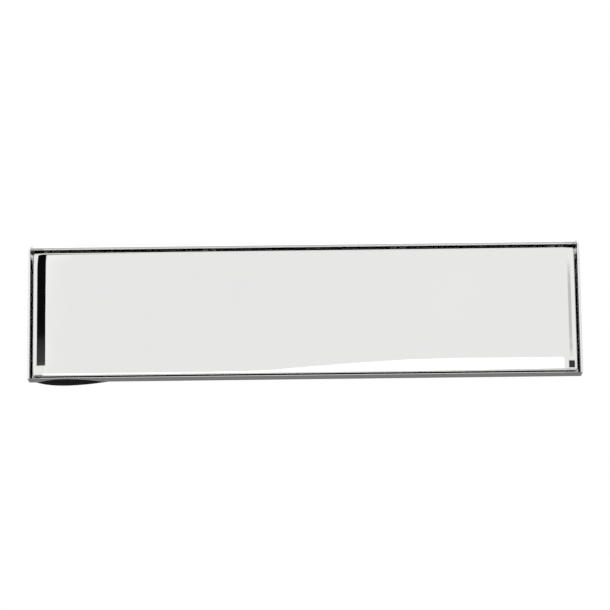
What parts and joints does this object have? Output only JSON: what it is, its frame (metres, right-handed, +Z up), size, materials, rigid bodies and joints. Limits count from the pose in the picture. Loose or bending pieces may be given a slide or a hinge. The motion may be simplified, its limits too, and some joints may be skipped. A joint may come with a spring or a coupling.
{
  "type": "letter plate",
  "caption": "Mirror-chrome letter plate for a door: shallow frame, top-hinged sprung flap, sleeve with draught brushes, and through bolts.",
  "frame": {"origin": "middle of the door cut-out on the door's outer face, where the foam ring seats", "axes": "+X to the right seen from outside, +Y through the door into the house, +Z up"},
  "size_m": [0.305, 0.0635, 0.0761],
  "materials": {
    "chrome": "mirror-polished chrome plate",
    "steel": "zinc-plated steel",
    "spring_steel": "drawn spring wire",
    "brass": "turned brass",
    "sleeve": "fine-textured black moulding",
    "foam": "closed-cell black foam",
    "buffer": "soft black rubber",
    "aluminium": "mill-finish extrusion",
    "bristle": "black nylon bristle",
    "cap": "silver-grey moulded cap"
  },
  "bodies": {
    "plate": {"frame": "chrome", "hinge_pin": "steel", "gasket": "foam", "sleeve": "sleeve", "flap_spring_left": "spring_steel", "pin_clip_left": "steel", "threaded_post_left": "brass", "flap_spring_right": "spring_steel", "pin_clip_right": "steel", "threaded_post_right": "brass", "sleeve_screw_1": "steel", "sleeve_screw_2": "steel", "sleeve_screw_3": "steel", "sleeve_screw_4": "steel", "upper_brush_carrier": "aluminium", "upper_brush": "bristle", "lower_brush_carrier": "aluminium", "lower_brush": "bristle"},
    "flap": {"flap": "chrome", "flap_bumper_left": "buffer", "flap_bumper_right": "buffer"},
    "bolt_left": {"fixing_bolt_left": "steel", "bolt_washer_left": "steel", "bolt_cap_left": "cap"},
    "bolt_right": {"fixing_bolt_right": "steel", "bolt_washer_right": "steel", "bolt_cap_right": "cap"}
  },
  "joints": [
    {"name": "flap_hinge", "type": "hinge", "parent": "plate", "child": "flap", "pos_m": [0, -0.0096, 0.0298], "axis": [-1, 0, 0], "range_deg": [0, 90], "stiffness_Nm_per_rad": 0.06, "springref_deg": -51.57},
    {"name": "bolt_slide_left", "type": "slide", "parent": "plate", "child": "bolt_left", "axis": [0, 1, 0], "range_m": [-0.01, 0.018]},
    {"name": "bolt_slide_right", "type": "slide", "parent": "plate", "child": "bolt_right", "axis": [0, 1, 0], "range_m": [-0.01, 0.018]}
  ]
}
